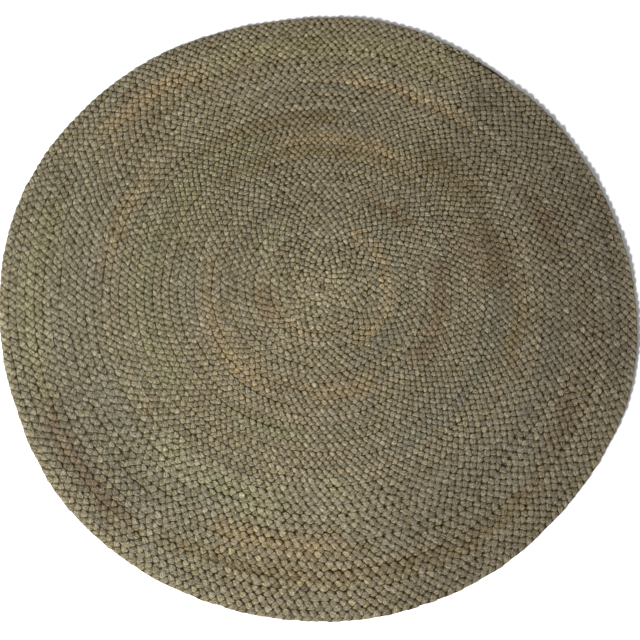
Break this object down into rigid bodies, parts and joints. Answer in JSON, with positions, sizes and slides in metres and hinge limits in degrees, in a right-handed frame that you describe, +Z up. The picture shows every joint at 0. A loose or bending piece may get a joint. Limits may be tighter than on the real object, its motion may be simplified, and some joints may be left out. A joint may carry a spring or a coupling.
{
  "type": "round jute rug",
  "caption": "Flat round floor rug: a flat jute plait coiled into a spiral and sewn edge to edge, with a rounded, slightly uneven rim.",
  "frame": {"origin": "on the floor, under the middle of the rug's box", "axes": "+Z up out of the rug's face; X and Y lie in the floor, with the plait's tail ending at a bearing of 48 degrees from +X towards +Y"},
  "size_m": [1.1958, 1.2022, 0.008],
  "materials": {
    "jute": "raw jute plait, matt with a faint fibre sheen"
  },
  "bodies": {
    "root": {"plaited_rug": "jute"}
  },
  "joints": []
}
